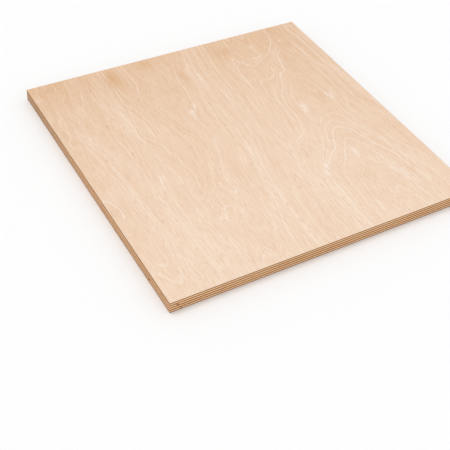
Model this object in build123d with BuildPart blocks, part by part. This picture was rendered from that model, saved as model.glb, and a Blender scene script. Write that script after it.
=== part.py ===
from build123d import *
import os

# A square panel of nine-ply birch plywood, lying flat. All sizes are in millimetres.
# X runs across the grain of the face, Y runs along it, and Z runs up through the thickness.
# The origin is the centre of the underside.

# The trimmed panel
panel_width = 330.0
panel_length = 330.0

# The lay-up. The two outer veneers start as thick as the others and lose a little to the sander.
inner_veneer_thickness = 1.4
outer_veneer_thickness = 1.1
crossband_count = 4

# The sander's round on every outer arris and down the four corners
arris_radius = 0.3

# Splits in the crossbands. A split follows the grain, so it opens at the left edge and closes
# to a point inside the panel: (crossband, distance from the front edge, opening, depth).
edge_splits = [
    (2, 62.0, 1.1, 15.0),
    (2, 86.0, 0.8, 10.0),
]

# Chips, where the saw lifted long grain out of a veneer that lies along its cut
front_chips = [
    # crossband, distance from the left edge, length, depth
    (3, 7.4, 1.9, 0.9),
    (1, 10.8, 1.6, 0.8),
]
left_chips = [
    # long band, distance from the front edge, length, depth
    (1, 39.6, 2.3, 0.7),
]

left_edge = -panel_width / 2
front_edge = -panel_length / 2


def lay_up():
    """The veneers from the underside up, as (name, underside height, thickness)."""
    names = ["back_veneer"]
    for number in range(1, crossband_count + 1):
        names.append(f"crossband_{number}")
        if number < crossband_count:
            names.append(f"long_band_{number}")
    names.append("face_veneer")

    veneers = []
    height = 0.0
    for name in names:
        outer = name in ("back_veneer", "face_veneer")
        thickness = outer_veneer_thickness if outer else inner_veneer_thickness
        veneers.append((name, height, thickness))
        height += thickness
    return veneers


def outer_veneer(height, thickness, outward):
    """The face or the back: square to its neighbour inside, with a sanded arris outside."""
    with BuildPart() as veneer:
        with BuildSketch(Plane.XY.offset(height)):
            Rectangle(panel_width, panel_length)
        extrude(amount=thickness)
        sanded_face = veneer.faces().sort_by(outward)[-1]
        fillet(veneer.edges().filter_by(Axis.Z) + sanded_face.edges(), radius=arris_radius)
    return veneer


def inner_veneer(height, thickness, splits=(), along_front=(), along_left=()):
    """A crossband or a long band, with the defects that show at the trimmed edges."""
    with BuildPart() as veneer:
        with BuildSketch(Plane.XY.offset(height)):
            Rectangle(panel_width, panel_length)
        extrude(amount=thickness)
        fillet(veneer.edges().filter_by(Axis.Z), radius=arris_radius)

        if splits or along_front or along_left:
            with BuildSketch(Plane.XY.offset(height)):
                for place, opening, depth in splits:
                    with BuildLine():
                        Polyline(
                            (left_edge, front_edge + place - opening / 2),
                            (left_edge + depth, front_edge + place),
                            (left_edge, front_edge + place + opening / 2),
                            close=True,
                        )
                    make_face()
                for place, length, depth in along_front:
                    with Locations((left_edge + place, front_edge)):
                        Ellipse(length / 2, depth)
                for place, length, depth in along_left:
                    with Locations((left_edge, front_edge + place)):
                        Ellipse(depth, length / 2)
            extrude(amount=thickness, mode=Mode.SUBTRACT)
    return veneer


def defects_in(defects, number):
    """The sizes of the defects that lie in the numbered veneer."""
    return [sizes for veneer_number, *sizes in defects if veneer_number == number]


os.makedirs("parts", exist_ok=True)

for name, height, thickness in lay_up():
    if name == "face_veneer":
        ply = outer_veneer(height, thickness, Axis.Z)
    elif name == "back_veneer":
        ply = outer_veneer(height, thickness, -Axis.Z)
    elif name.startswith("crossband"):
        number = int(name.split("_")[-1])
        ply = inner_veneer(
            height,
            thickness,
            splits=defects_in(edge_splits, number),
            along_front=defects_in(front_chips, number),
        )
    else:
        number = int(name.split("_")[-1])
        ply = inner_veneer(height, thickness, along_left=defects_in(left_chips, number))
    ply.part.label = name
    export_step(ply.part, f"parts/{name}.step")
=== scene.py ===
import functools
import math

import bpy
import numpy as np
from mathutils import Matrix, Vector


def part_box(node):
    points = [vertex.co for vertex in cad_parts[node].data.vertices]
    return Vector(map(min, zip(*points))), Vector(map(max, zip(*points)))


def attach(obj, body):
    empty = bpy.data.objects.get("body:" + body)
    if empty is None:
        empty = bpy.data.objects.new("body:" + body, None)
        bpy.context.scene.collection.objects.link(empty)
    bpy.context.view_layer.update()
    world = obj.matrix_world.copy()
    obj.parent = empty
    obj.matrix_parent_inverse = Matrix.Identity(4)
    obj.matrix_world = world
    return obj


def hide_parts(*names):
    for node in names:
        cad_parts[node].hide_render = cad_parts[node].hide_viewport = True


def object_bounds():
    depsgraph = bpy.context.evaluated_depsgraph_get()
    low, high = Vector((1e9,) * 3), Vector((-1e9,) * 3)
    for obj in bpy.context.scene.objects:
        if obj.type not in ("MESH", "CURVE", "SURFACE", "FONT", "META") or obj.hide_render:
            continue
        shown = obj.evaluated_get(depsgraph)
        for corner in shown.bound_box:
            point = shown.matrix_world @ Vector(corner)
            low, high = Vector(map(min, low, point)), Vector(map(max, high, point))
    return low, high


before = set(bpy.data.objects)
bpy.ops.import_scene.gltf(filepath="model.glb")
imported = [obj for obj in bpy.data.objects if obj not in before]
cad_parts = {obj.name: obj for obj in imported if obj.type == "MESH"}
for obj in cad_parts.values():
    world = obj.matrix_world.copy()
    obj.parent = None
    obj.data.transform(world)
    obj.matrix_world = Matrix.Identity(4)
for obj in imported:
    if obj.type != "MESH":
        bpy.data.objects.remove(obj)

# A nine-ply birch panel, lying flat. Each veneer is rebuilt in mesh, on the box of its CAD node,
# with the sanded arris, the waver of the glue lines and the splits and chips at the trimmed edges.
# The figure of the two outer veneers is a map of growth, held in the mesh, that the shader draws.

cad_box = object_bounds()

# Sizes are in mm, and MM turns them into Blender's metres
MM = 0.001
BODY = "root"
WIDTH = (cad_box[1][0] - cad_box[0][0]) / MM
LENGTH = (cad_box[1][1] - cad_box[0][1]) / MM
LEFT = cad_box[0][0] / MM
FRONT = cad_box[0][1] / MM

# The lists that draw the face and the back count this many steps along each side of the panel
SIDE_STEPS = 350

# The sanded round. A grid line ARRIS_TURN from the edge lands a quarter of the way round it.
ARRIS_RADIUS = 0.3
ARRIS_TURN = ARRIS_RADIUS * (1 - math.tan(math.radians(22.5)))

# The glue lines waver up and down, and each lies in a fine groove, with darker wood beside it
WAVER = 0.09
WAVER_LENGTH = 24
WAVER_SEED = 300
GLUE_BAND = 0.1
GLUE_GROOVE = 0.03

# How uneven the saw left the trimmed edges
SAW_DEPTH = 0.012
SAW_LENGTH = 5

# The grid of a veneer's mesh. A plain side has it only this many cells deep, round the rim.
OUTER_CELL = 1.5
INNER_CELL = 2.5
RIM_CELLS = 3
SHARP_DEGREES = 35
TINY = 1e-9

# Growth lines of the face, as (growth, how clear the line is, points along it), in steps from
# the front left corner. They rise from the left edge to the nested arches on the right, and fall
# again beyond those.
FACE_GROWTH = [
    # at the left edge
    (1, 0.8, [(1, 151), (4, 146), (6, 140), (8, 135), (10, 128), (10, 116)]),
    (2, 0.9, [(1, 97), (3, 95), (6, 91), (8, 87), (10, 81), (11, 74)]),
    (3, 0.5, [(12, 46), (16, 43), (20, 42), (22, 46), (23, 54)]),
    (3, 0.2, [(23, 54), (22, 80), (20, 110), (19, 142), (19, 152), (15, 171), (11, 190), (9, 240)]),
    (3, 0.4, [(9, 240), (9, 256), (10, 268), (12, 280)]),
    (3, 0.3, [(12, 280), (14, 300), (16, 316), (14, 327), (17, 335), (20, 345)]),
    (4, 0.8, [(1, 37), (3, 40), (8, 35), (11, 30), (14, 24), (17, 20), (20, 19), (23, 22), (27, 34)]),
    (4, 0.3, [(27, 34), (29, 60), (28, 90), (27, 120), (26, 150), (24, 200), (20, 250), (23, 280)]),
    (4, 0.25, [(23, 280), (28, 312), (34, 323), (38, 342)]),
    (5, 0.6, [(2, 14), (5, 10), (7, 5), (8, 1)]),
    (7, 0.4, [(38, 5), (37, 40), (37, 84), (36, 92), (36, 130), (33, 172)]),
    (7, 0.8, [(33, 172), (34, 190), (38, 200), (37, 208), (33, 221), (29, 232), (28, 250)]),
    (7, 0.3, [(28, 250), (31, 264), (33, 278), (37, 292)]),
    # straight grain beside them
    (10, 0.2, [(50, 5), (50, 60), (50, 120), (49, 160), (46, 200), (44, 230), (41, 262), (40, 284)]),
    (10, 0.4, [(40, 284), (42, 293), (45, 292), (48, 297), (50, 312), (52, 320), (54, 335), (53, 348)]),
    (12, 0.5, [(56, 5), (57, 60), (56, 95), (57, 125), (57, 145)]),
    (12, 0.2, [(57, 145), (55, 190), (54, 230), (56, 262), (60, 300), (62, 345)]),
    (14, 0.85, [(64, 62), (65, 85), (65, 100), (65, 120), (65, 135), (66, 146), (68, 156)]),
    (14, 0.3, [(66, 5), (64, 62)]),
    (14, 0.2, [(68, 156), (70, 185), (70, 210), (71, 232)]),
    (14, 0.7, [(71, 232), (73, 242), (74, 252), (75, 265), (76, 282)]),
    (14, 0.3, [(76, 282), (76, 345)]),
    (17, 0.4, [(76, 5), (77, 55), (79, 95), (80, 130), (82, 170), (81, 198)]),
    (17, 0.85, [(81, 198), (80, 205), (78, 214), (77, 224), (78, 235)]),
    (17, 0.2, [(78, 235), (81, 262), (83, 300), (85, 345)]),
    (18, 0.3, [(99, 125), (99, 150), (97, 170), (93, 184), (90, 200), (92, 230), (90, 262), (88, 345)]),
    (19, 0.3, [(97, 345), (98, 320), (100, 300), (102, 288)]),
    (19, 0.55, [(102, 288), (104, 292), (107, 288), (109, 291), (111, 297), (113, 305), (115, 318)]),
    (19, 0.55, [(115, 318), (115, 335), (114, 348)]),
    (18.4, 0.0, [(106, 346), (107, 320), (106, 302)]),
    (19.6, 0.0, [(124, 262), (128, 300), (130, 346)]),
    # the double hump in the middle, and its line up to the lens
    (20, 0.6, [(84, 5), (85, 22), (87, 38), (90, 55), (92, 68)]),
    (20, 0.9, [(92, 68), (94, 74), (96, 75), (98, 71), (100, 73), (101, 80), (103, 87), (105, 91)]),
    (20, 0.9, [(105, 91), (108, 94), (111, 91), (114, 84), (116, 78), (118, 73)]),
    (20, 0.2, [(118, 73), (120, 86), (124, 102), (128, 120), (134, 145), (140, 162)]),
    (20, 0.12, [(140, 162), (145, 178), (148, 188), (149, 205), (147, 222), (149, 236), (154, 243)]),
    (20, 0.7, [(154, 243), (157, 252), (159, 262), (161, 272), (161, 290), (163, 303), (165, 313)]),
    (20, 0.5, [(165, 313), (169, 323), (170, 330)]),
    (20, 0.3, [(170, 330), (172, 348)]),
    # long lines that lean to the right
    (23, 0.8, [(98, 3), (100, 9), (103, 13), (106, 16), (108, 17), (111, 15), (113, 12)]),
    (23, 0.5, [(113, 12), (116, 11), (120, 12), (125, 13), (127, 19), (129, 27), (131, 33)]),
    (23, 0.8, [(131, 33), (133, 37), (135, 42), (136, 48)]),
    (23, 0.3, [(136, 48), (140, 62), (146, 85), (150, 108), (153, 125), (157, 142), (161, 165)]),
    (23, 0.3, [(161, 165), (164, 185), (167, 210), (169, 232), (172, 255), (176, 275), (178, 292)]),
    (23, 0.5, [(178, 292), (182, 310), (185, 322), (188, 333), (193, 346)]),
    (26, 0.5, [(141, 5), (142, 16), (143, 22), (145, 32), (146, 40), (151, 60), (157, 85), (162, 110)]),
    (26, 0.4, [(162, 110), (166, 125), (170, 140), (174, 160), (176, 180), (178, 200), (180, 222)]),
    (26, 0.3, [(180, 222), (184, 250), (186, 290), (190, 320), (197, 346)]),
    (30, 0.3, [(158, 5), (160, 40), (163, 66)]),
    (30, 0.7, [(163, 66), (164, 75), (166, 85), (167, 92), (168, 100)]),
    (30, 0.4, [(168, 100), (172, 120), (177, 140), (182, 160), (187, 178), (190, 188)]),
    (30, 0.6, [(190, 188), (191, 200), (194, 225), (198, 250), (198, 280), (198, 295)]),
    (30, 0.5, [(198, 295), (200, 312), (204, 335), (206, 346)]),
    (34, 0.25, [(172, 5), (175, 60), (180, 95), (185, 120), (192, 145), (197, 165), (202, 185)]),
    (34, 0.35, [(202, 185), (206, 210), (209, 240), (211, 270), (213, 300), (217, 330), (219, 346)]),
    # the forked line at the back
    (37, 0.4, [(248, 346), (246, 335), (248, 320), (252, 308), (258, 302)]),
    (37, 0.9, [(258, 302), (261, 299), (264, 298), (268, 299), (271, 299), (274, 301), (276, 304)]),
    (37, 0.6, [(276, 304), (275, 308), (273, 315), (274, 322), (275, 332), (276, 346)]),
    (38, 0.25, [(188, 5), (190, 40), (193, 75), (198, 92), (203, 112), (208, 130), (213, 147)]),
    (38, 0.4, [(213, 147), (218, 162), (222, 178), (225, 195), (227, 210), (230, 228), (232, 250)]),
    (38, 1.0, [(232, 250), (233, 270), (234, 283), (236, 293), (238, 302), (240, 306), (243, 303)]),
    (38, 1.0, [(243, 303), (246, 299), (249, 295), (252, 290), (255, 287)]),
    (38, 0.5, [(255, 287), (262, 290), (266, 293), (272, 295), (280, 298), (288, 302)]),
    (38, 0.8, [(288, 302), (290, 307), (292, 310), (296, 313), (300, 317), (303, 325), (308, 345)]),
    (40, 0.3, [(197, 5), (199, 40), (201, 70), (205, 100), (210, 122), (216, 140), (223, 153)]),
    (40, 0.3, [(223, 153), (230, 163), (235, 178), (238, 195), (240, 215), (243, 235), (246, 250)]),
    (40, 0.7, [(246, 250), (250, 256), (255, 256), (262, 255), (266, 257), (269, 262), (271, 268)]),
    (40, 0.7, [(271, 268), (273, 273), (276, 277)]),
    (40, 0.4, [(276, 277), (281, 284), (287, 293), (293, 300), (300, 308), (306, 316), (312, 322)]),
    (40, 0.3, [(312, 322), (315, 312), (317, 298), (319, 280), (320, 260), (321, 230), (322, 200)]),
    (40, 0.4, [(322, 200), (325, 170), (328, 150), (331, 120), (334, 100), (338, 60), (344, 5)]),
    # the nested arches
    (42, 0.3, [(205, 5), (206, 40), (208, 70), (211, 95), (215, 112), (219, 125), (222, 136)]),
    (42, 0.9, [(222, 136), (224, 142), (228, 147), (232, 149), (236, 151), (239, 153), (242, 158)]),
    (42, 0.8, [(242, 158), (245, 166), (248, 176), (249, 186), (250, 200), (251, 207), (257, 220)]),
    (42, 1.0, [(257, 220), (261, 228), (266, 235), (268, 240), (271, 247), (273, 254), (276, 261)]),
    (42, 1.0, [(276, 261), (279, 264), (282, 263), (285, 266), (287, 272), (289, 280), (291, 289)]),
    (42, 0.8, [(291, 289), (294, 293), (298, 298), (302, 301)]),
    (42, 0.3, [(302, 301), (306, 296), (309, 285), (311, 265), (313, 240), (314, 215), (318, 188)]),
    (42, 0.6, [(318, 188), (316, 178), (315, 170), (316, 160), (317, 150), (319, 140)]),
    (42, 0.5, [(319, 140), (323, 120), (326, 102), (329, 88), (330, 80), (334, 50), (338, 10)]),
    (44, 0.6, [(213, 5), (213, 20), (213, 60), (215, 85), (221, 102), (230, 115), (240, 128)]),
    (44, 0.4, [(240, 128), (246, 140), (250, 152), (254, 161), (260, 167), (262, 178), (262, 200)]),
    (44, 0.7, [(262, 200), (263, 205), (265, 213), (268, 222), (271, 228)]),
    (44, 0.3, [(271, 228), (277, 238), (284, 246), (292, 250), (299, 243), (302, 228), (302, 210)]),
    (44, 0.8, [(302, 210), (304, 202), (306, 192), (305, 180), (305, 170), (306, 160)]),
    (44, 0.5, [(306, 160), (308, 145), (311, 130), (315, 116), (320, 100), (325, 78), (328, 55)]),
    (46, 0.3, [(219, 5), (219, 50), (221, 75), (225, 90), (231, 102), (238, 112), (245, 120)]),
    (46, 0.7, [(245, 120), (248, 124), (251, 130), (253, 137), (256, 145), (260, 153), (264, 158)]),
    (46, 0.5, [(264, 158), (268, 162), (274, 167), (282, 170), (290, 169)]),
    (46, 0.7, [(290, 169), (292, 168), (296, 165), (298, 160), (299, 153), (303, 140), (306, 125)]),
    (46, 0.6, [(306, 125), (309, 115), (312, 108), (315, 100), (317, 92), (319, 82), (324, 60)]),
    (47, 0.5, [(258, 130), (262, 140), (266, 148), (272, 155), (276, 158), (280, 162), (284, 158)]),
    (47, 0.4, [(284, 158), (288, 153), (294, 148), (298, 136), (302, 122)]),
    (48, 0.9, [(223, 5), (223, 28), (224, 38), (225, 48), (226, 70), (227, 85), (229, 92), (232, 98)]),
    (48, 1.0, [(232, 98), (236, 101), (241, 104), (247, 108), (252, 113), (257, 119)]),
    (48, 1.0, [(257, 119), (260, 123), (263, 128), (266, 133), (270, 138), (273, 142), (277, 146)]),
    (48, 1.0, [(277, 146), (280, 149), (283, 146), (286, 142), (289, 143), (291, 139), (293, 133)]),
    (48, 1.0, [(293, 133), (295, 128), (297, 122), (299, 116), (301, 108), (303, 100), (306, 92)]),
    (48, 0.8, [(306, 92), (309, 84), (311, 76), (313, 70), (315, 62), (316, 55), (318, 35)]),
    (50, 0.4, [(238, 5), (238, 18), (240, 45), (242, 70), (244, 82), (248, 88), (252, 90)]),
    (50, 0.6, [(252, 90), (255, 95), (259, 101), (263, 107), (268, 114), (272, 121), (277, 126)]),
    (50, 0.6, [(277, 126), (283, 125), (287, 115), (290, 105), (294, 90), (297, 76), (300, 66)]),
    (50, 0.5, [(300, 66), (304, 54), (307, 35), (310, 10)]),
    (53, 0.2, [(247, 5), (250, 20), (252, 45), (256, 62), (262, 75), (268, 85), (275, 91)]),
    (53, 0.6, [(275, 91), (283, 85), (290, 75), (294, 66), (296, 60), (298, 52), (299, 46)]),
    (53, 0.3, [(299, 46), (301, 28), (303, 5)]),
    (56, 0.2, [(261, 5), (263, 30), (266, 42), (269, 37)]),
    (56, 0.9, [(269, 37), (271, 33), (274, 31), (277, 33), (279, 38), (281, 41), (284, 38)]),
    (56, 0.7, [(284, 38), (287, 30), (289, 22), (290, 14), (293, 2)]),
    # the fine lines along the right edge
    (36, 0.5, [(327, 346), (327, 335), (328, 320), (329, 300), (329, 285), (330, 262)]),
    (36, 0.8, [(330, 262), (332, 254), (334, 248), (335, 240)]),
    (36, 0.5, [(335, 240), (334, 220), (332, 198), (332, 190), (333, 180), (335, 168), (337, 162)]),
    (36, 0.7, [(337, 162), (340, 152), (343, 145), (345, 137), (348, 128)]),
    (33, 0.5, [(336, 346), (335, 330), (337, 318), (338, 300), (338, 280), (339, 262), (341, 245)]),
    (33, 0.5, [(341, 245), (342, 225), (341, 205), (342, 190), (345, 175), (349, 160)]),
    (30, 0.5, [(342, 346), (343, 320), (344, 300), (344, 275), (345, 250), (346, 220), (349, 190)]),
    (27, 0.4, [(348, 346), (348, 320), (349, 290)]),
]

# Pale flames, where the knife cut a ripple of the grain: (x, y, half width, half length, strength)
FACE_FLAMES = [
    (267, 195, 2.6, 4.5, 0.9),
    (265, 188, 2.4, 4.0, 0.7),
    (264, 173, 2.0, 5.0, 0.4),
    (274, 105, 2.8, 6.0, 0.8),
    (273, 97, 1.6, 4.0, 0.4),
    (232, 98, 1.8, 4.0, 0.5),
    (227, 87, 1.2, 5.0, 0.35),
    (225, 73, 1.0, 5.0, 0.3),
    (148, 237, 3.2, 4.0, 0.8),
    (146, 230, 2.0, 4.0, 0.4),
    (156, 246, 2.0, 3.0, 0.5),
    (146, 181, 2.6, 7.0, 0.35),
    (142, 170, 3.0, 8.0, 0.25),
    (121, 106, 2.0, 1.8, 0.6),
    (126, 103, 2.4, 2.4, 0.8),
    (118, 74, 1.2, 2.6, 0.6),
    (303.5, 203, 1.3, 4.5, 0.8),
    (309.5, 203, 1.1, 5.0, 0.9),
    (306.5, 196, 1.2, 4.5, 0.9),
    (294, 214, 2.5, 4.0, 0.35),
    (4, 325, 4.0, 4.0, 0.4),
    (312, 318, 3.0, 5.0, 0.3),
    (186, 290, 3.5, 16.0, 0.25),
    (65, 284, 4.0, 16.0, 0.25),
]

# Warm stains in the face: (x, y, half width, half length, strength)
FACE_STAINS = [
    (95, 328, 11, 19, 0.40),
    (94, 329, 2.5, 3.5, 0.25),
    (140, 340, 12, 12, 0.25),
    (29, 266, 10, 8, 0.12),
    (235, 326, 14, 14, 0.2),
    (262, 68, 9, 12, 0.2),
    (252, 42, 8, 8, 0.15),
    (170, 300, 6, 18, 0.2),
    (295, 205, 6, 12, 0.2),
    (4, 200, 8, 60, 0.06),
    (350, 190, 55, 220, 0.17),
    (25, 335, 60, 40, 0.15),
    (322, 332, 50, 45, 0.10),
    (5, 110, 30, 60, 0.08),
]

BACK_GROWTH = [
    (2, 0.45, [(4, 5), (6, 180), (3, 345)]),
    (9, 0.45, [(40, 5), (46, 120), (38, 230), (44, 345)]),
    (15, 0.45, [(84, 5), (92, 110), (80, 240), (88, 345)]),
    (19, 0.45, [(118, 5), (132, 120), (150, 196), (166, 118), (176, 5)]),
    (17, 0.45, [(104, 5), (114, 160), (132, 262), (152, 300), (176, 230), (196, 90), (202, 5)]),
    (14, 0.45, [(112, 345), (124, 330), (170, 332), (206, 250), (232, 100), (236, 5)]),
    (9, 0.45, [(214, 345), (240, 250), (262, 110), (264, 5)]),
    (5, 0.45, [(262, 345), (282, 220), (300, 90), (296, 5)]),
    (2, 0.45, [(312, 345), (322, 200), (340, 60), (344, 5)]),
]
BACK_FLAMES = [(150, 150, 4, 12, 0.6), (228, 214, 3, 8, 0.5), (70, 90, 3, 9, 0.5)]
BACK_STAINS = [(110, 60, 20, 30, 0.3), (290, 270, 24, 40, 0.3), (50, 300, 18, 25, 0.25)]

# Pin knots of the plainer back: (x, y, radius)
BACK_KNOTS = [(62, 248, 1.6), (131, 84, 1.2), (212, 305, 1.4), (247, 61, 1.9), (303, 168, 1.2)]

# Seeded unevenness of the figure, as (amount, width across the grain, length along it), in steps
SHIFT_ACROSS = [(0.8, 14, 40), (0.4, 5, 16)]
UNEVEN_WARMTH = [(0.035, 16, 50), (0.03, 6, 14)]
SHIFT_ALONG = [(2.5, 8, 24), (1.5, 4, 9)]
UNEVEN_GROWTH = [(0.12, 5, 16)]
FACE_SEED = 21
BACK_SEED = 61

# A pin knot is longer along the grain, and the growth swells round it for a few of its radii
KNOT_STRETCH = 1.4
KNOT_SWELL = 3.0
KNOT_REACH = 4

# Added to a slope of growth before it divides, for where the growth is level
LEAST_SLOPE = 0.002

# How warm the wood is: the face at its front, and what is added towards its back, and the back. What is
# added towards the face's back is partly the wood's own tone and partly painted shade, darker and
# warmer to the back and paler to the front.
FACE_WARMTH = 0.10
FACE_BACK_WARMTH_AND_SHADE = 0.46
WARMER_AND_SHADED_BEND = 1.6
BACK_WARMTH = 0.35

# Splits in the left edge, as (distance from the front edge, opening, depth), as in the CAD
SPLITS = {"crossband_2": [(62.0, 1.1, 15.0), (86.0, 0.8, 10.0)]}
SPLIT_STEPS = 7
SPLIT_RAGGED = 0.12

# Chips, as (edge, distance from the front left corner, length, depth), as in the CAD
CHIPS = {
    "crossband_3": [("front", 7.4, 1.9, 0.9)],
    "crossband_1": [("front", 10.8, 1.6, 0.8)],
    "long_band_1": [("left", 39.6, 2.3, 0.7)],
}
CHIP_STEPS = 9
CHIP_RAGGED = (0.85, 1.05)

# How far the cutters of splits and chips reach out of the veneer
OVERSHOOT = 1.0

# The seed of the ragged splits and chips and of the tints, and how far a tint goes
EDGE_SEED = 12
TINT = 0.05

# The cells along each side of a noise
NOISE_SIDE = 256


def srgb(red, green, blue):
    """A display colour in 0 to 255 as the linear colour that a shader takes."""
    linear = []
    for channel in (red, green, blue):
        value = channel / 255
        linear.append(value / 12.92 if value <= 0.04045 else ((value + 0.055) / 1.055) ** 2.4)
    return (*linear, 1.0)


@functools.cache
def noise_table(seed):
    """Random numbers from -1 to 1 on a square grid."""
    return np.random.default_rng(seed).uniform(-1, 1, (NOISE_SIDE, NOISE_SIDE))


def value_noise(x, y, seed):
    """Smooth seeded noise in -1 to 1, with a cell of one unit."""
    table = noise_table(seed)
    column, row = np.floor(x).astype(int), np.floor(y).astype(int)
    u, v = x - column, y - row
    u, v = u * u * (3 - 2 * u), v * v * (3 - 2 * v)

    def at(across, up):
        return table[(column + across) % NOISE_SIDE, (row + up) % NOISE_SIDE]

    near = at(0, 0) * (1 - u) + at(1, 0) * u
    far = at(0, 1) * (1 - u) + at(1, 1) * u
    return near * (1 - v) + far * v


def uneven(layers, x, y, seed):
    """Noises added up, each with its own amount, width and length, and with seeds that follow on."""
    total = np.zeros_like(x)
    for number, (amount, width, length) in enumerate(layers):
        total += amount * value_noise(x / width, y / length, seed + number)
    return total


def along(points, spacing):
    """Points about every spacing along straight runs."""
    placed = [points[0]]
    for (x0, y0), (x1, y1) in zip(points, points[1:]):
        count = max(1, round(math.hypot(x1 - x0, y1 - y0) / spacing))
        for step in range(1, count + 1):
            placed.append((x0 + (x1 - x0) * step / count, y0 + (y1 - y0) * step / count))
    return placed


def growth_map(lines, x, y, spacing=9.0, squeeze=2.0, smoothing=2.0):
    """Growth at x, y: a thin-plate spline that follows the growth lines. It is laid through points
    every spacing along them, with the grain's length squeezed, and smoothing lets it miss a little."""

    def kernel(squared):
        return 0.5 * squared * np.log(np.maximum(squared, TINY))

    placed = [(p, growth) for growth, _, points in lines for p in along(points, spacing)]
    centres = np.array([p for p, _ in placed]) / (1.0, squeeze)
    growths = np.array([growth for _, growth in placed], float)
    count = len(centres)
    squared = ((centres[:, None] - centres[None]) ** 2).sum(2)
    plane = np.hstack([np.ones((count, 1)), centres])
    system = np.zeros((count + 3, count + 3))
    system[:count, :count] = kernel(squared) + smoothing * np.eye(count)
    system[:count, count:] = plane
    system[count:, :count] = plane.T
    weights = np.linalg.solve(system, np.concatenate([growths, np.zeros(3)]))

    result = weights[count] + weights[count + 1] * x + weights[count + 2] * y / squeeze
    for weight, (cx, cy) in zip(weights, centres):
        result += weight * kernel((x - cx) ** 2 + (y / squeeze - cy) ** 2)
    return result


def patches(marks, x, y):
    """Soft oval patches added up."""
    total = np.zeros_like(x)
    for cx, cy, half_width, half_length, strength in marks:
        total += strength * np.exp(-(((x - cx) / half_width) ** 2) - ((y - cy) / half_length) ** 2)
    return total


def clearness(lines, x, y, reach=2.6):
    """How clear the clearest line near by is, 0 to 1. Each fades out beside it over the reach."""
    clearest = np.zeros_like(x)
    for _, clear, points in lines:
        nearest = np.full_like(x, np.inf)
        for (x0, y0), (x1, y1) in zip(points, points[1:]):
            dx, dy = x1 - x0, y1 - y0
            share = np.clip(((x - x0) * dx + (y - y0) * dy) / (dx * dx + dy * dy), 0, 1)
            nearest = np.minimum(nearest, np.hypot(x - x0 - share * dx, y - y0 - share * dy))
        clearest = np.maximum(clearest, clear * np.exp(-((nearest / reach) ** 2)))
    return clearest


def figure(lines, flames, stains, knots, xs, ys, seed):
    """The figure of an outer veneer on the grid xs, ys, in steps from the front left corner."""
    x, y = np.meshgrid(xs, ys, indexing="ij")
    shifted_x = x + uneven(SHIFT_ACROSS, x, y, seed)
    warmth_and_shade = patches(stains, x, y) + uneven(UNEVEN_WARMTH, x, y, seed + 2)
    shifted_y = y + uneven(SHIFT_ALONG, x, y, seed + 4)
    growth = growth_map(lines, shifted_x, shifted_y) + uneven(UNEVEN_GROWTH, x, y, seed + 6)
    knot = np.zeros_like(x)
    for cx, cy, radius in knots:
        distance = np.hypot(x - cx, (y - cy) / KNOT_STRETCH) / radius
        growth += KNOT_SWELL * np.exp(-((distance / KNOT_REACH) ** 2))
        knot += np.exp(-(distance**4))
    dx, dy = np.gradient(growth, xs, ys)
    slope = np.hypot(dx, dy)
    return {
        "growth": growth,
        "slope": slope,
        "clear": clearness(lines, shifted_x, shifted_y),
        "lean": np.abs(dx) / (slope + LEAST_SLOPE),
        "ripple": patches(flames, x, y),
        "warmth_and_shade": warmth_and_shade,
        "knot": knot,
    }


def grid_lines(low, high, cell):
    """Grid lines from low to high, closer together on the rounds at both ends."""
    count = round((high - low - 2 * ARRIS_RADIUS) / cell)
    inner = np.linspace(low + ARRIS_RADIUS, high - ARRIS_RADIUS, count + 1)
    return np.concatenate([[low, low + ARRIS_TURN], inner, [high - ARRIS_TURN, high]])


def edge_rows(low, high, is_face, is_back):
    """The heights of the grid on a trimmed edge, close together at a glue line or a sanded arris."""
    lower = [low, low + GLUE_BAND]
    upper = [high - GLUE_BAND, high]
    if is_back:
        lower = [low, low + ARRIS_TURN, low + ARRIS_RADIUS]
    if is_face:
        upper = [high - ARRIS_RADIUS, high - ARRIS_TURN, high]
    return [*lower, (low + high) / 2, *upper]


def rounded(point, low, high, round_top, round_bottom):
    """A point of the box's surface, moved onto its rounded corners and arrises."""
    inside_low = low + ARRIS_RADIUS * np.array((1, 1, round_bottom))
    inside_high = high - ARRIS_RADIUS * np.array((1, 1, round_top))
    inside = [min(max(p, a), b) for p, a, b in zip(point, inside_low, inside_high)]
    offset = [p - q for p, q in zip(point, inside)]
    if sum(abs(part) > TINY for part in offset) < 2:
        return point
    size = math.hypot(*offset)
    return [q + ARRIS_RADIUS * part / size for q, part in zip(inside, offset)]


def waver(glue_line, x, y):
    """How far a glue line lies above its height in the CAD."""
    return WAVER * value_noise(x / WAVER_LENGTH, y / WAVER_LENGTH, WAVER_SEED + glue_line)


def add_object(name, data):
    item = bpy.data.objects.new(name, data)
    bpy.context.scene.collection.objects.link(item)
    return item


def add_mesh(name, points, faces):
    mesh = bpy.data.meshes.new(name)
    mesh.from_pydata(points, [], faces)
    return add_object(name, mesh)


def add_layers(mesh, places, glued_rows, layers):
    """Holds in the mesh which of its vertices lie at a glue line, and the figure of its face."""
    glue = mesh.attributes.new("glue", "FLOAT", "POINT")
    glue.data.foreach_set("value", [float(k in glued_rows) for _, _, k in places])
    columns, rows = [i for i, _, _ in places], [j for _, j, _ in places]
    for title, values in layers.items():
        layer = mesh.attributes.new(title, "FLOAT", "POINT")
        layer.data.foreach_set("value", values[columns, rows].astype(np.float32))


def ring(low, high_i, high_j):
    """The grid places round a rectangle whose sides start at low, anticlockwise."""
    around = [(i, low) for i in range(low, high_i)] + [(high_i, j) for j in range(low, high_j)]
    around += [(i, high_j) for i in range(high_i, low, -1)]
    return around + [(low, j) for j in range(high_j, low, -1)]


def edge_faces(vertex, last_i, last_j, last_k):
    """The faces of the four trimmed edges."""
    faces = []
    rim = ring(0, last_i, last_j)
    for (i0, j0), (i1, j1) in zip(rim, rim[1:] + rim[:1]):
        for k in range(last_k):
            corners = ((i0, j0, k), (i1, j1, k), (i1, j1, k + 1), (i0, j0, k + 1))
            faces.append([vertex(*corner) for corner in corners])
    return faces


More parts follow.
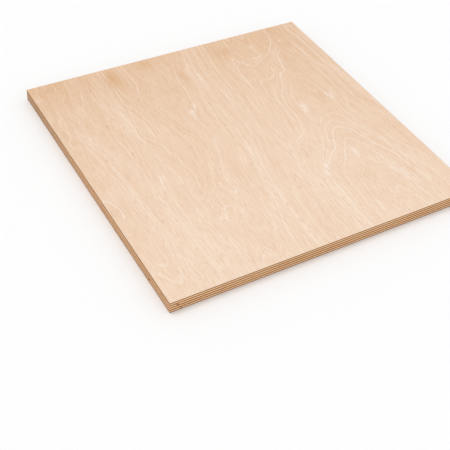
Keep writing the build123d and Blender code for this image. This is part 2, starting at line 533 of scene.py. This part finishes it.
def side_faces(vertex, last_i, last_j, k, whole):
    """The upward faces of a flat side: a whole grid, or a band of grid round one plain face."""
    faces = []
    for i in range(last_i):
        for j in range(last_j):
            if whole or min(i, j, last_i - 1 - i, last_j - 1 - j) < RIM_CELLS:
                corners = ((i, j), (i + 1, j), (i + 1, j + 1), (i, j + 1))
                faces.append([vertex(*corner, k) for corner in corners])
    if not whole:
        inner = ring(RIM_CELLS, last_i - RIM_CELLS, last_j - RIM_CELLS)
        faces.append([vertex(*corner, k) for corner in inner])
    return faces


def slab(name, low, high, cell, heights, top_figure, bottom_figure, boundary):
    """A veneer as a closed mesh, with a figure in its top, its bottom or neither. boundary is the
    number of the glue line under it."""
    xs = grid_lines(low[0], high[0], cell)
    ys = grid_lines(low[1], high[1], cell)
    last_i, last_j, last_k = len(xs) - 1, len(ys) - 1, len(heights) - 1
    glued_low, glued_high = not bottom_figure, not top_figure
    glued_rows = [0] * glued_low + [last_k] * glued_high
    points, places, index = [], [], {}

    def vertex(i, j, k):
        if (i, j, k) in index:
            return index[i, j, k]
        x, y, z = rounded((xs[i], ys[j], heights[k]), low, high, not glued_high, not glued_low)
        if i in (0, last_i) or j in (0, last_j):
            share = k / last_k
            if glued_low:
                z += (1 - share) * waver(boundary, xs[i], ys[j])
            if glued_high:
                z += share * waver(boundary + 1, xs[i], ys[j])
            inward = SAW_DEPTH * (1 + value_noise((xs[i] + ys[j]) / SAW_LENGTH, z, boundary))
            if k in glued_rows:
                inward += GLUE_GROOVE
            elif k in (0, last_k):
                inward = 0.0
            x += inward * ((i == 0) - (i == last_i))
            y += inward * ((j == 0) - (j == last_j))
        index[i, j, k] = len(points)
        points.append((x * MM, y * MM, z * MM))
        places.append((i, j, k))
        return index[i, j, k]

    faces = edge_faces(vertex, last_i, last_j, last_k)
    faces += [face[::-1] for face in side_faces(vertex, last_i, last_j, 0, not glued_low)]
    faces += side_faces(vertex, last_i, last_j, last_k, not glued_high)
    piece = add_mesh(name, points, faces)
    mesh = piece.data
    mesh.polygons.foreach_set("use_smooth", [True] * len(mesh.polygons))
    mesh.set_sharp_from_angle(angle=math.radians(SHARP_DEGREES))
    add_layers(mesh, places, glued_rows, top_figure or bottom_figure or {})
    return piece


def prism(outline, low, high):
    """Vertices and faces of an upright prism over an outline that runs anticlockwise."""
    count = len(outline)
    points = [(x, y, low) for x, y in outline] + [(x, y, high) for x, y in outline]
    faces = [[n, (n + 1) % count, (n + 1) % count + count, n + count] for n in range(count)]
    faces.append(list(range(count))[::-1])
    faces.append(list(range(count, 2 * count)))
    return points, faces


def split_outline(place, opening, depth, random):
    """A split from the left edge: two ragged sides that close to a point."""
    y = FRONT + place
    lower, upper = [(LEFT - OVERSHOOT, y - opening / 2)], [(LEFT - OVERSHOOT, y + opening / 2)]
    for step in range(SPLIT_STEPS):
        share = step / SPLIT_STEPS
        ragged = SPLIT_RAGGED * (1 - share)
        half = opening / 2 * (1 - share)
        lower.append((LEFT + depth * share, y - half + random.uniform(-ragged, ragged)))
        upper.append((LEFT + depth * share, y + half + random.uniform(-ragged, ragged)))
    return lower + [(LEFT + depth, y)] + upper[::-1]


def chip_outline(edge, place, length, depth, random):
    """A chip out of the front or the left edge: a half oval, a little ragged."""
    outline = []
    for step in range(CHIP_STEPS + 1):
        turn = math.pi * step / CHIP_STEPS
        reach = depth * math.sin(turn) * random.uniform(*CHIP_RAGGED)
        outline.append((place - length / 2 * math.cos(turn), reach))
    outline += [(place + length / 2, -OVERSHOOT), (place - length / 2, -OVERSHOOT)]
    if edge == "front":
        return [(LEFT + s, FRONT + inward) for s, inward in outline][::-1]
    return [(LEFT + inward, FRONT + s) for s, inward in outline]


def cut(piece, outlines, low, high):
    """Cuts upright prisms out of a veneer."""
    points, faces = [], []
    for outline in outlines:
        more_points, more_faces = prism(outline, low, high)
        faces += [[n + len(points) for n in face] for face in more_faces]
        points += more_points
    cutter = add_mesh("cutter", [[c * MM for c in p] for p in points], faces)
    modifier = piece.modifiers.new("cut", "BOOLEAN")
    modifier.operation = "DIFFERENCE"
    modifier.solver = "EXACT"
    modifier.object = cutter
    bpy.context.view_layer.update()
    evaluated = piece.evaluated_get(bpy.context.evaluated_depsgraph_get())
    result = bpy.data.meshes.new_from_object(evaluated)
    piece.modifiers.clear()
    piece.data = result
    bpy.data.objects.remove(cutter)


# Where each side of a veneer lies on its map, as (left, bottom, width, height): the sides towards
# -X, +X, -Y, +Y, -Z and +Z. A figured veneer gives most of its map to the figured side, and a
# veneer inside the panel to its trimmed edges.
FIGURED_SIDE = (0.01, 0.01, 0.93, 0.93)
GLUED_SIDE = (0.95, 0.01, 0.04, 0.04)
OUTER_EDGES = [(0.01, 0.95 + 0.012 * number, 0.93, 0.009) for number in range(4)]
INNER_EDGES = [(0.01, 0.02 + 0.18 * number, 0.98, 0.16) for number in range(4)]
INNER_SIDES = [(0.01, 0.86, 0.12, 0.12), (0.20, 0.86, 0.12, 0.12)]
FACE_SIDES = OUTER_EDGES + [GLUED_SIDE, FIGURED_SIDE]
BACK_SIDES = OUTER_EDGES + [FIGURED_SIDE, GLUED_SIDE]
BAND_SIDES = INNER_EDGES + INNER_SIDES

# The strip of the map where the walls of splits and chips lie side by side
WALL_BOTTOM, WALL_HEIGHT, WALL_GAP = 0.74, 0.10, 0.003


def add_map(piece, low, high, places):
    """Lays each side of a veneer flat on its place in the map, and the walls of its splits and
    chips side by side in a strip of their own."""
    mesh = piece.data
    count = len(mesh.polygons)
    normals = np.empty((count, 3))
    mesh.polygons.foreach_get("normal", normals.ravel())
    totals = np.empty(count, int)
    mesh.polygons.foreach_get("loop_total", totals)
    corners = np.empty(len(mesh.loops), int)
    mesh.loops.foreach_get("vertex_index", corners)
    points = np.empty((len(mesh.vertices), 3))
    mesh.vertices.foreach_get("co", points.ravel())
    points = points[corners] / MM
    share = (points - low) / (high - low)

    axes = np.abs(normals).argmax(1)
    sides = 2 * axes + (normals[np.arange(count), axes] > 0)
    side = np.repeat(sides, totals)
    axis = np.repeat(axes, totals)
    across = np.where(axis == 0, share[:, 1], share[:, 0])
    across = np.where(np.isin(side, (0, 3, 4)), 1 - across, across)
    upward = np.where(axis == 2, share[:, 1], share[:, 2])
    left, bottom, width, height = np.array(places)[side].T
    flat = np.stack([left + width * across, bottom + height * upward], 1)

    inside = np.minimum(share[:, :2], 1 - share[:, :2]).min(1) * WIDTH
    cursor = places[0][0]
    ends = totals.cumsum()
    for number in np.flatnonzero(axes < 2):
        loops = slice(ends[number] - totals[number], ends[number])
        if inside[loops].max() < ARRIS_RADIUS + GLUE_GROOVE:
            continue
        along_wall = np.array((-normals[number][1], normals[number][0]))
        place = points[loops, :2] @ along_wall * places[0][2] / WIDTH
        place -= place.min()
        flat[loops, 0] = cursor + place
        flat[loops, 1] = WALL_BOTTOM + WALL_HEIGHT * share[loops, 2]
        cursor += place.max() + WALL_GAP
    for layer in list(mesh.uv_layers):
        mesh.uv_layers.remove(layer)
    mesh.uv_layers.new(name="OFBake").data.foreach_set("uv", flat.ravel())


# How far a fibre may be slid along the grain, in lengths of its specks
FIBRE_SLIDE = 9.0

# The share of its width over which a growth line has its full strength, and the least steepness
# that its width is worked out from
LINE_CORE = 0.1
LEAST_STEEP = 0.02

# Slopes of growth over which finer streaks give way to middling ones, and those to coarser ones
GENTLE_SLOPES = (0.05, 0.11)
STEEP_SLOPES = (0.13, 0.24)


class Wood:
    """A birch veneer's material, with a short method for each kind of node it needs."""

    def __init__(self, name):
        self.material = bpy.data.materials.new(name)
        self.material.use_nodes = True
        self.tree = self.material.node_tree
        self.shader = self.tree.nodes["Principled BSDF"]

    def node(self, kind):
        return self.tree.nodes.new("ShaderNode" + kind)

    def put(self, socket, value):
        """Links another node's output to a socket, or sets the socket to a plain value."""
        if isinstance(value, bpy.types.NodeSocket):
            self.tree.links.new(value, socket)
        else:
            socket.default_value = value

    def attribute(self, name):
        """A value that the mesh holds."""
        node = self.node("Attribute")
        node.attribute_name = name
        return node.outputs["Fac"]

    def math(self, operation, a, b=0.0, clamp=False):
        node = self.node("Math")
        node.operation = operation
        node.use_clamp = clamp
        self.put(node.inputs[0], a)
        self.put(node.inputs[1], b)
        return node.outputs[0]

    def times(self, a, b):
        return self.math("MULTIPLY", a, b)

    def weighted(self, *terms):
        """The sum of some values, each times its weight."""
        products = [self.times(value, weight) for value, weight in terms]
        return functools.reduce(lambda total, product: self.math("ADD", total, product), products)

    def ease(self, value, low, high, to_low=0.0, to_high=1.0):
        """value from low to high, eased onto to_low to to_high."""
        node = self.node("MapRange")
        node.interpolation_type = "SMOOTHSTEP"
        for socket, number in zip(node.inputs, (value, low, high, to_low, to_high)):
            self.put(socket, number)
        return node.outputs[0]

    def blend(self, share, a, b):
        """From the number a to the number b as share goes from 0 to 1."""
        return self.math("ADD", a, self.times(share, self.math("SUBTRACT", b, a)))

    def mix(self, share, a, b):
        """From the colour a to the colour b as share goes from 0 to 1."""
        node = self.node("Mix")
        node.data_type = "RGBA"
        self.put(node.inputs["Factor"], share)
        self.put(node.inputs["A"], a)
        self.put(node.inputs["B"], b)
        return node.outputs["Result"]

    def scaled(self, vector, scale):
        node = self.node("VectorMath")
        node.operation = "MULTIPLY"
        self.put(node.inputs[0], vector)
        self.put(node.inputs[1], scale)
        return node.outputs[0]

    def vector(self, x, y, z):
        node = self.node("CombineXYZ")
        for socket, value in zip(node.inputs, (x, y, z)):
            self.put(socket, value)
        return node.outputs[0]

    def part(self, vector, axis):
        """One of the three parts of a vector."""
        node = self.node("SeparateXYZ")
        self.put(node.inputs[0], vector)
        return node.outputs[axis]

    def position(self):
        """Where the point is on the panel, in mm."""
        node = self.node("TexCoord")
        return self.scaled(node.outputs["Object"], (1 / MM,) * 3)

    def facing(self, axis):
        """How far the surface faces along an axis, 0 to 1."""
        node = self.node("TexCoord")
        return self.math("ABSOLUTE", self.part(node.outputs["Normal"], axis))

    def noise(self, vector, detail=2.0, roughness=0.5):
        node = self.node("TexNoise")
        self.put(node.inputs["Vector"], vector)
        node.inputs["Scale"].default_value = 1.0
        node.inputs["Detail"].default_value = detail
        node.inputs["Roughness"].default_value = roughness
        return node.outputs["Fac"]

    def around_zero(self, noise):
        return self.math("SUBTRACT", noise, 0.5)

    def in_grain(self, specks, grain):
        """Positions for a noise whose specks are (width, length), the length along the grain. Each
        fibre is slid along the grain by its own amount, so that the specks end in no rows."""
        width, length = specks
        position = self.position()
        axis = "XYZ".index(grain)
        section = [1 / width] * 3
        section[axis] = 0.0
        slid = [0.0] * 3
        slid[axis] = FIBRE_SLIDE * length
        slide = self.noise(self.scaled(position, section), detail=0.0)
        joined = self.node("VectorMath")
        joined.operation = "ADD"
        self.put(joined.inputs[0], position)
        self.put(joined.inputs[1], self.scaled(self.vector(slide, slide, slide), slid))
        scale = [1 / width] * 3
        scale[axis] = 1 / length
        return self.scaled(joined.outputs[0], scale)

    def broken(self, growth, rate, length):
        """Streaks that follow the growth, each broken off after about length, around zero."""
        fine = self.times(growth, rate)
        run = self.math("DIVIDE", self.part(self.position(), "Y"), length)
        return self.around_zero(self.noise(self.vector(fine, run, 0.0)))

    def streaks(self, growth, slope, rate, length):
        """Streaks that follow the growth, about as wide where it is gentle as where it is steep."""
        gentle = self.broken(growth, 4.0 * rate, length)
        middle = self.broken(growth, 2.0 * rate, length)
        steep = self.broken(growth, rate, length)
        gentler = self.blend(self.ease(slope, *GENTLE_SLOPES), gentle, middle)
        return self.blend(self.ease(slope, *STEEP_SLOPES), gentler, steep)

    def growth_lines(self, growth, slope, rate, width):
        """Thin lines at every 1 / rate of growth."""
        fine = self.times(growth, rate)
        away = self.math("ABSOLUTE", self.math("SUBTRACT", fine, self.math("ROUND", fine)))
        steep = self.math("MAXIMUM", self.times(slope, rate), LEAST_STEEP)
        distance = self.math("DIVIDE", away, steep)
        return self.ease(distance, LINE_CORE * width, width, 1.0, 0.0)

    def line_chance(self, growth, rate, seed):
        """A number from 0 to 1 that is random from one growth line to the next."""
        nearest = self.math("ROUND", self.times(growth, rate))
        node = self.node("TexWhiteNoise")
        node.noise_dimensions = "1D"
        self.put(node.inputs["W"], self.math("ADD", nearest, seed))
        return node.outputs["Value"]


# The colours of the edges' long and end grain, and of the faces with their marks
LONG_PALE = srgb(249, 213, 169)
LONG_DEEP = srgb(229, 187, 140)
END_PALE = srgb(180, 114, 54)
END_DEEP = srgb(142, 78, 28)
GLUE = srgb(112, 72, 42)
# Painted shade: the darker, greyer colour the edges take on towards the back
PAINTED_BACK_SHADE = srgb(132, 104, 74)
FACE_PALE = srgb(243, 219, 196)
FACE_WARM = srgb(217, 174, 132)
LINE_PALE = srgb(250, 238, 227)
FLECK = srgb(205, 152, 105)
KNOT = srgb(92, 52, 26)
ARRIS = srgb(142, 92, 44)

# The specks of each noise, as (width across the grain, length along it), in mm
EDGE_FIBRES = (0.28, 7.0)
EDGE_BANDS = (2.2, 40.0)
EDGE_PORES = (0.22, 3.0)
LINE_RAGS = (1.6, 6.0)
LINE_PATCHES = (5.0, 14.0)
LINE_RUNS = (4.0, 60.0)
FACE_FIBRES = (0.6, 30.0)
FACE_BRUSHED = (1.5, 20.0)
FACE_FLECKS = (0.5, 8.0)

# Streaks of the face, as (how many to a unit of growth where it is steep, length)
BROAD_STREAKS = (1.0, 50.0)
FINE_STREAKS = (2.6, 90.0)

# How much each of these warms the face
BROAD_WARMTH = 0.1
FINE_WARMTH = 0.75
FIBRE_WARMTH = 0.9
BRUSHED_WARMTH = 0.15

# The growth lines' half widths, in steps, and strengths. Each has a halo. There are FINE_RATE fine
# lines to a unit of growth.
LINE_WIDTH, LINE_STRENGTH = 1.0, 0.60
HALO_WIDTH, HALO_STRENGTH = 2.6, 0.12
FINE_WIDTH, FINE_RATE, FINE_SEED = 0.9, 2.0, 40.5

# How strongly the flames, the glue and the darker arrises show
RIPPLE_STRENGTH = 0.75
GLUE_STRENGTH = 0.35
ARRIS_STRENGTH = 0.6

# How much the fibres and the bands deepen the colour of the edges
EDGE_FIBRE_SHARE = 0.7
EDGE_BAND_SHARE = 0.5

# How values are eased, as (low, high) onto 0 to 1, or as (low, high, result at low, at high)
EDGE_DEEPER = (0.35, 0.85)
END_FACING = (0.4, 0.8)
PORES_SHOWN = (0.60, 0.72, 0.0, 0.45)
# The next eases the painted shade of the edges, from the front to halfway back
SHADE_TOWARDS_BACK = (0.0, 0.5 * LENGTH, 0.0, 0.35)
LINES_STRAY = (0.0, 0.9, 6.0, 1.6)
LINES_PATCHY = (0.35, 0.65, 0.6, 1.0)
FINE_CHANCE = (0.1, 1.0, 0.2, 1.0)
FINE_SHOWN = (0.40, 0.62, 0.0, 0.40)
STREAKS_UPRIGHT = (0.15, 0.6, 0.15, 1.0)
FLECKS_SHOWN = (0.50, 0.70, 0.0, 0.6)
KNOTS_SHOWN = (0.1, 0.8, 0.0, 0.85)
FACE_FACING = (0.80, 0.99)
ROUGHNESS = (0.2, 0.8, 0.72, 0.60)

# The finish, with the height of the relief in mm
SPECULAR = 0.35
BUMP_STRENGTH = 0.6
BAND_RELIEF = 0.05
FACE_RELIEF = 0.04


def edge_fibres(wood, grain):
    return wood.noise(wood.in_grain(EDGE_FIBRES, grain), detail=3.0)


def edge_colour(wood, grain, fibres, tint):
    """The trimmed edge: long grain along the grain, end grain across it, and painted shade that makes
    it darker and greyer to the back.
    """
    bands = wood.noise(wood.in_grain(EDGE_BANDS, grain), detail=1.0)
    pores = wood.noise(wood.in_grain(EDGE_PORES, grain), detail=1.0)
    deep = wood.weighted((fibres, EDGE_FIBRE_SHARE), (bands, EDGE_BAND_SHARE))
    share = wood.ease(deep, *(value + tint for value in EDGE_DEEPER))
    long_grain = wood.mix(share, LONG_PALE, LONG_DEEP)
    end_grain = wood.mix(share, END_PALE, END_DEEP)
    end_grain = wood.mix(wood.ease(pores, *PORES_SHOWN), end_grain, KNOT)
    colour = wood.mix(wood.ease(wood.facing(grain), *END_FACING), long_grain, end_grain)
    # Painted shade: the edges darker and greyer towards the back
    back_shade = wood.ease(wood.part(wood.position(), "Y"), *SHADE_TOWARDS_BACK)
    colour = wood.mix(back_shade, colour, PAINTED_BACK_SHADE)
    glued = wood.times(wood.attribute("glue"), GLUE_STRENGTH)
    return wood.mix(glued, colour, GLUE)


def finish_wood(wood, colour, relief, height):
    """The colour, with a fine relief and a roughness that goes with it."""
    bump = wood.node("Bump")
    bump.inputs["Strength"].default_value = BUMP_STRENGTH
    bump.inputs["Distance"].default_value = height * MM
    wood.put(bump.inputs["Height"], relief)
    wood.put(wood.shader.inputs["Normal"], bump.outputs[0])
    wood.put(wood.shader.inputs["Base Color"], colour)
    wood.put(wood.shader.inputs["Roughness"], wood.ease(relief, *ROUGHNESS))
    wood.shader.inputs["Specular IOR Level"].default_value = SPECULAR
    return wood.material


def band_material(name, grain, tint):
    """An inner veneer, which shows only at the trimmed edges."""
    wood = Wood(name)
    fibres = edge_fibres(wood, grain)
    return finish_wood(wood, edge_colour(wood, grain, fibres, tint), fibres, BAND_RELIEF)


def pale_lines(wood, growth, slope):
    """The growth lines: clear ones with a halo, patchy along their run, and fine ones between."""
    core = wood.growth_lines(growth, slope, 1.0, LINE_WIDTH)
    halo = wood.growth_lines(growth, slope, 1.0, HALO_WIDTH)
    strong = wood.weighted((core, LINE_STRENGTH), (halo, HALO_STRENGTH))
    patchy = wood.noise(wood.in_grain(LINE_PATCHES, "Y"), detail=1.0)
    shown = wood.times(wood.attribute("clear"), wood.ease(patchy, *LINES_PATCHY))

    fine = wood.growth_lines(growth, slope, FINE_RATE, FINE_WIDTH)
    chance = wood.ease(wood.line_chance(growth, FINE_RATE, FINE_SEED), *FINE_CHANCE)
    runs = wood.noise(wood.in_grain(LINE_RUNS, "Y"), detail=1.0)
    fine_shown = wood.times(chance, wood.ease(runs, *FINE_SHOWN))
    return wood.weighted((strong, shown), (fine, fine_shown))


def face_warmth_and_shade(wood, growth, slope, lean, fibres):
    """How warm the face is, 0 to 1: stains, painted shade towards the face's back, and streaks that
    fade where lines cross the grain.
    """
    upright = wood.ease(lean, *STREAKS_UPRIGHT)
    broad = wood.times(wood.streaks(growth, slope, *BROAD_STREAKS), upright)
    fine = wood.times(wood.streaks(growth, slope, *FINE_STREAKS), upright)
    brushed = wood.around_zero(wood.noise(wood.in_grain(FACE_BRUSHED, "Y")))
    streaks = wood.weighted((broad, BROAD_WARMTH), (fine, FINE_WARMTH))
    specks = wood.weighted((wood.around_zero(fibres), FIBRE_WARMTH), (brushed, BRUSHED_WARMTH))
    grain = wood.math("ADD", streaks, specks)
    return wood.math("ADD", wood.attribute("warmth_and_shade"), grain, clamp=True)


def figured_material(name):
    """An outer veneer: growth lines, flames, stains, fibres, flecks and knots on the face."""
    wood = Wood(name)
    slope = wood.attribute("slope")
    lean = wood.attribute("lean")
    ragged = wood.around_zero(wood.noise(wood.in_grain(LINE_RAGS, "Y")))
    stray = wood.times(slope, wood.ease(lean, *LINES_STRAY))
    growth = wood.math("ADD", wood.attribute("growth"), wood.times(ragged, stray))

    fibres = wood.noise(wood.in_grain(FACE_FIBRES, "Y"), detail=3.0, roughness=0.6)
    colour = wood.mix(face_warmth_and_shade(wood, growth, slope, lean, fibres), FACE_PALE, FACE_WARM)
    ripple = wood.times(wood.attribute("ripple"), RIPPLE_STRENGTH)
    pale = wood.math("ADD", pale_lines(wood, growth, slope), ripple, clamp=True)
    colour = wood.mix(pale, colour, LINE_PALE)
    flecks = wood.noise(wood.in_grain(FACE_FLECKS, "Y"))
    colour = wood.mix(wood.ease(flecks, *FLECKS_SHOWN), colour, FLECK)
    colour = wood.mix(wood.ease(wood.attribute("knot"), *KNOTS_SHOWN), colour, KNOT)

    edge = edge_colour(wood, "Y", edge_fibres(wood, "Y"), 0.0)
    edge = wood.mix(ARRIS_STRENGTH, edge, ARRIS)
    colour = wood.mix(wood.ease(wood.facing("Z"), *FACE_FACING), edge, colour)
    return finish_wood(wood, colour, fibres, FACE_RELIEF)


def build_veneers():
    names = sorted(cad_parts, key=lambda node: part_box(node)[0].z)
    random = np.random.default_rng(EDGE_SEED)
    for number, node in enumerate(names):
        low, high = (np.array(corner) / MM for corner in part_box(node))
        is_face, is_back = number == len(names) - 1, number == 0
        heights = edge_rows(low[2], high[2], is_face, is_back)
        cell = OUTER_CELL if is_face or is_back else INNER_CELL
        xs = (grid_lines(low[0], high[0], cell) - LEFT) * SIDE_STEPS / WIDTH
        ys = (grid_lines(low[1], high[1], cell) - FRONT) * SIDE_STEPS / LENGTH
        top = bottom = None
        if is_face:
            top = figure(FACE_GROWTH, FACE_FLAMES, FACE_STAINS, [], xs, ys, FACE_SEED)
            # Added towards the back: partly the wood's own tone, partly painted shade
            top["warmth_and_shade"] += FACE_WARMTH + FACE_BACK_WARMTH_AND_SHADE * (ys / SIDE_STEPS) ** WARMER_AND_SHADED_BEND
        if is_back:
            bottom = figure(BACK_GROWTH, BACK_FLAMES, BACK_STAINS, BACK_KNOTS, xs, ys, BACK_SEED)
            bottom["warmth_and_shade"] += BACK_WARMTH
        piece = slab(node + ".wood", low, high, cell, heights, top, bottom, number)

        outlines = [split_outline(*split, random) for split in SPLITS.get(node, [])]
        outlines += [chip_outline(*chip, random) for chip in CHIPS.get(node, [])]
        if outlines:
            cut(piece, outlines, low[2] - OVERSHOOT, high[2] + OVERSHOOT)
        add_map(piece, low, high, FACE_SIDES if is_face else BACK_SIDES if is_back else BAND_SIDES)

        tint = float(random.uniform(-TINT, TINT))
        if is_face or is_back:
            material = figured_material(node)
        else:
            grain = "X" if node.startswith("crossband") else "Y"
            material = band_material(node, grain, tint)
        piece.data.materials.clear()
        piece.data.materials.append(material)
        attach(piece, BODY)
        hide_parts(node)


# The camera, from the perspective of the panel's edges: turned from the panel's length, looking
# down, rolled a little, with its place in panel widths from the top's front left corner
CAMERA_TURN = 32.86
CAMERA_DOWN = 43.87
CAMERA_ROLL = -4.91
CAMERA_PLACE = (-0.7289, -1.3517, 1.7617)
FOCAL_PIXELS = 924.3
PICTURE_PIXELS = 450
SENSOR_WIDTH = 36.0
CLIP_START = 0.01


def build_camera():
    turn, tilt, roll = (math.radians(a) for a in (CAMERA_TURN, CAMERA_DOWN, CAMERA_ROLL))
    ahead = math.cos(tilt)
    forward = Vector((math.sin(turn) * ahead, math.cos(turn) * ahead, -math.sin(tilt)))
    level = Vector((math.cos(turn), -math.sin(turn), 0))
    below = forward.cross(level)
    right = math.cos(roll) * level + math.sin(roll) * below
    down = -math.sin(roll) * level + math.cos(roll) * below
    pose = Matrix((right, -down, -forward)).transposed().to_4x4()
    corner = Vector((cad_box[0][0], cad_box[0][1], cad_box[1][2]))
    pose.translation = corner + Vector(CAMERA_PLACE) * WIDTH * MM

    camera = add_object("camera", bpy.data.cameras.new("camera"))
    camera.matrix_world = pose
    camera.data.sensor_width = SENSOR_WIDTH
    camera.data.lens = FOCAL_PIXELS / PICTURE_PIXELS * SENSOR_WIDTH
    camera.data.clip_start = CLIP_START
    bpy.context.scene.camera = camera


# The studio: even light from all round, a soft sun from above and a floor, in metres
SKY_COLOUR = (1, 1, 1, 1)
SKY_STRENGTH = 0.8
SUN_STRENGTH = 0.8
SUN_SPREAD = 0.5
SUN_TILT = (-16, -6, 0)
FLOOR_REACH = 8.0
FLOOR_COLOUR = (0.95, 0.95, 0.95, 1)
FLOOR_ROUGHNESS = 0.9


def build_light():
    world = bpy.data.worlds.new("studio")
    world.use_nodes = True
    background = world.node_tree.nodes["Background"]
    background.inputs["Color"].default_value = SKY_COLOUR
    background.inputs["Strength"].default_value = SKY_STRENGTH
    bpy.context.scene.world = world

    sun = add_object("sun", bpy.data.lights.new("sun", "SUN"))
    sun.data.energy = SUN_STRENGTH
    sun.data.angle = SUN_SPREAD
    sun.rotation_euler = [math.radians(a) for a in SUN_TILT]


def build_floor():
    square = ((-1, -1), (1, -1), (1, 1), (-1, 1))
    corners = [(x * FLOOR_REACH, y * FLOOR_REACH, 0) for x, y in square]
    floor = add_mesh("floor", corners, [(0, 1, 2, 3)])
    material = bpy.data.materials.new("floor")
    material.use_nodes = True
    shader = material.node_tree.nodes["Principled BSDF"]
    shader.inputs["Base Color"].default_value = FLOOR_COLOUR
    shader.inputs["Roughness"].default_value = FLOOR_ROUGHNESS
    floor.data.materials.append(material)


build_camera()
build_veneers()
build_light()
build_floor()
bpy.context.scene.view_settings.view_transform = "Standard"
